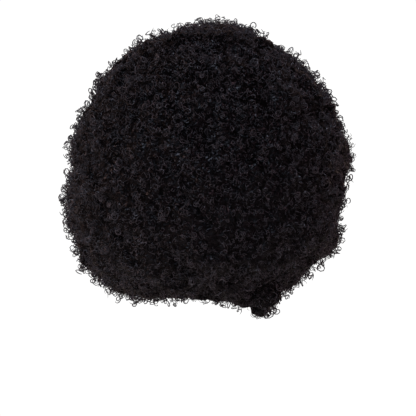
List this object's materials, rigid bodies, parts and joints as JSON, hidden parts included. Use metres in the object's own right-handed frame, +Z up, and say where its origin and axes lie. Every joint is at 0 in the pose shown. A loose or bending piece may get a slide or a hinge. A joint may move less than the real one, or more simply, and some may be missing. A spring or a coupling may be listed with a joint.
{
  "type": "afro wig",
  "caption": "Large round wig of tightly curled black hair, in rows round a close-fitting net cap that is open at the face and the neck.",
  "frame": {"origin": "inside of the cap at the crown, where the top of the head touches it", "axes": "+Z up out of the head, the face looks towards -Y, the wearer's left is towards +X"},
  "size_m": [0.3395, 0.3191, 0.3424],
  "materials": {
    "hair": "fine tightly curled synthetic fibre, near black, slightly glossy",
    "net": "matt black stretch net"
  },
  "bodies": {
    "root": {"cap": "net", "hair_crown": "hair", "hair_ring_1": "hair", "hair_ring_2": "hair", "hair_ring_3": "hair", "hair_row_1": "hair", "hair_row_2": "hair", "hair_row_3": "hair", "hair_nape": "hair"}
  },
  "joints": []
}
